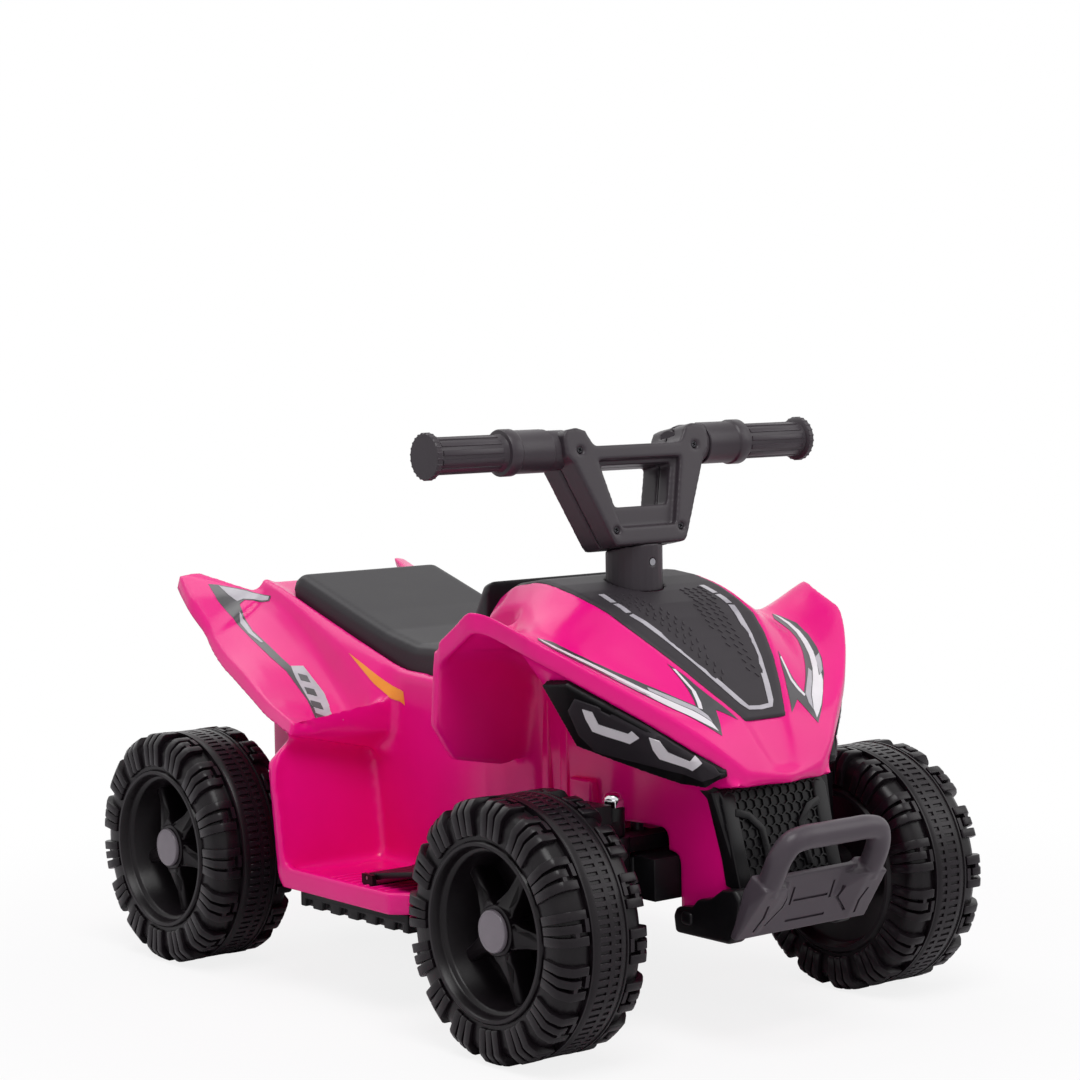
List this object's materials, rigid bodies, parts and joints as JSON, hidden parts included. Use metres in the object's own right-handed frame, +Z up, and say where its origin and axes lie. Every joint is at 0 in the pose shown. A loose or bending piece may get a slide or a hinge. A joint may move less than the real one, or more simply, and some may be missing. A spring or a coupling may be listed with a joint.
{
  "type": "electric ride-on quad",
  "caption": "Child's battery-driven ride-on quad with a saddle, a steering handlebar linked to the front wheels, foot wells, a geared rear wheel and a moulded body.",
  "frame": {"origin": "on the floor, midway between the foremost and rearmost points and on the centre plane", "axes": "+Z up, -Y towards the front of the car, +X towards the rider's left"},
  "size_m": [0.42, 0.6958, 0.4456],
  "materials": {
    "pink_body": "glossy blow-moulded polyethylene",
    "black_plastic": "satin moulded polypropylene",
    "wheel_plastic": "satin blow-moulded polyethylene",
    "charcoal_plastic": "fine-grained moulded polypropylene",
    "grey_plastic": "satin moulded cap",
    "seat_plastic": "satin moulded saddle",
    "zinc_steel": "zinc plated",
    "chrome": "bright plated",
    "nylon": "natural nylon",
    "battery_case": "plain moulded case"
  },
  "bodies": {
    "chassis": {"body_shell": "pink_body", "hood_cover": "black_plastic", "headlight_panel_left": "black_plastic", "headlight_panel_right": "black_plastic", "grille": "black_plastic", "front_bumper": "charcoal_plastic", "seat": "seat_plastic", "chassis_tray": "black_plastic", "front_axle_beam": "black_plastic", "column_bush": "nylon", "rear_axle": "zinc_steel", "axle_nut_rear_left": "zinc_steel", "axle_nut_rear_right": "zinc_steel", "gearbox_housing": "black_plastic", "gearbox_cover": "black_plastic", "idler_shaft": "zinc_steel", "drive_motor": "zinc_steel", "battery": "battery_case", "switch_bezel": "black_plastic", "charge_socket": "black_plastic", "pedal_base": "black_plastic", "pedal_pin": "zinc_steel"},
    "steering": {"steering_column": "zinc_steel", "steering_neck": "charcoal_plastic", "neck_screw": "chrome", "handlebar_front_shell": "charcoal_plastic", "handlebar_rear_shell": "charcoal_plastic", "handlebar_screw_upper_left": "zinc_steel", "handlebar_screw_upper_right": "zinc_steel", "handlebar_screw_lower_left": "zinc_steel", "handlebar_screw_lower_right": "zinc_steel", "handlebar_tube_left": "charcoal_plastic", "handlebar_tube_right": "charcoal_plastic", "grip_left": "charcoal_plastic", "grip_right": "charcoal_plastic"},
    "knuckle_left": {"steering_knuckle_left": "black_plastic", "stub_axle_left": "zinc_steel", "kingpin_left": "zinc_steel", "kingpin_nut_left": "chrome", "axle_nut_front_left": "zinc_steel"},
    "knuckle_right": {"steering_knuckle_right": "black_plastic", "stub_axle_right": "zinc_steel", "kingpin_right": "zinc_steel", "kingpin_nut_right": "chrome", "axle_nut_front_right": "zinc_steel"},
    "tie_rod": {"tie_rod": "zinc_steel"},
    "front_wheel_left": {"wheel_front_left": "wheel_plastic", "hub_cap_front_left": "grey_plastic"},
    "front_wheel_right": {"wheel_front_right": "wheel_plastic", "hub_cap_front_right": "grey_plastic"},
    "rear_wheel_left": {"wheel_rear_left": "wheel_plastic", "hub_cap_rear_left": "grey_plastic", "drive_gear": "nylon"},
    "rear_wheel_right": {"wheel_rear_right": "wheel_plastic", "hub_cap_rear_right": "grey_plastic"},
    "idler": {"idler_gear": "nylon"},
    "pinion": {"motor_pinion": "zinc_steel"},
    "pedal": {"accelerator_pedal": "black_plastic"},
    "switch": {"direction_switch": "black_plastic"}
  },
  "joints": [
    {"name": "steering_turn", "type": "hinge", "parent": "chassis", "child": "steering", "pos_m": [0, -0.12335, 0.25], "axis": [0, 0, 1], "range_deg": [-20, 20]},
    {"name": "kingpin_left_turn", "type": "hinge", "parent": "chassis", "child": "knuckle_left", "pos_m": [0.087, -0.19785, 0.12], "axis": [0, 0, 1], "range_deg": [-20, 20]},
    {"name": "kingpin_right_turn", "type": "hinge", "parent": "chassis", "child": "knuckle_right", "pos_m": [-0.087, -0.19785, 0.12], "axis": [0, 0, 1], "range_deg": [-20, 20]},
    {"name": "tie_rod_pivot", "type": "hinge", "parent": "knuckle_right", "child": "tie_rod", "pos_m": [-0.087, -0.15585, 0.1068], "axis": [0, 0, 1], "range_deg": [-20, 20]},
    {"name": "front_left_spin", "type": "hinge", "parent": "knuckle_left", "child": "front_wheel_left", "pos_m": [0.1705, -0.19785, 0.095], "axis": [1, 0, 0], "continuous": true},
    {"name": "front_right_spin", "type": "hinge", "parent": "knuckle_right", "child": "front_wheel_right", "pos_m": [-0.1705, -0.19785, 0.095], "axis": [1, 0, 0], "continuous": true},
    {"name": "rear_left_spin", "type": "hinge", "parent": "chassis", "child": "rear_wheel_left", "pos_m": [0.1705, 0.24115, 0.095], "axis": [1, 0, 0], "continuous": true},
    {"name": "rear_right_spin", "type": "hinge", "parent": "chassis", "child": "rear_wheel_right", "pos_m": [-0.1705, 0.24115, 0.095], "axis": [1, 0, 0], "continuous": true},
    {"name": "idler_spin", "type": "hinge", "parent": "chassis", "child": "idler", "pos_m": [0.11, 0.21685, 0.12396], "axis": [1, 0, 0], "continuous": true},
    {"name": "pinion_spin", "type": "hinge", "parent": "chassis", "child": "pinion", "pos_m": [0.108, 0.20606, 0.15361], "axis": [1, 0, 0], "continuous": true},
    {"name": "pedal_press", "type": "hinge", "parent": "chassis", "child": "pedal", "pos_m": [-0.136, 0.01015, 0.098], "axis": [1, 0, 0], "range_deg": [0, 8], "stiffness_Nm_per_rad": 0.2, "springref_deg": -5.73},
    {"name": "switch_tip", "type": "hinge", "parent": "chassis", "child": "switch", "pos_m": [0.086, 0.04615, 0.155], "axis": [0, 0, 1], "range_deg": [-10, 10]}
  ],
  "couplings": [
    {"joint": "kingpin_left_turn", "follows": "steering_turn", "ratio": 1},
    {"joint": "kingpin_right_turn", "follows": "steering_turn", "ratio": 1},
    {"joint": "tie_rod_pivot", "follows": "steering_turn", "ratio": -1},
    {"joint": "idler_spin", "follows": "rear_left_spin", "ratio": -4},
    {"joint": "pinion_spin", "follows": "rear_left_spin", "ratio": 16}
  ]
}
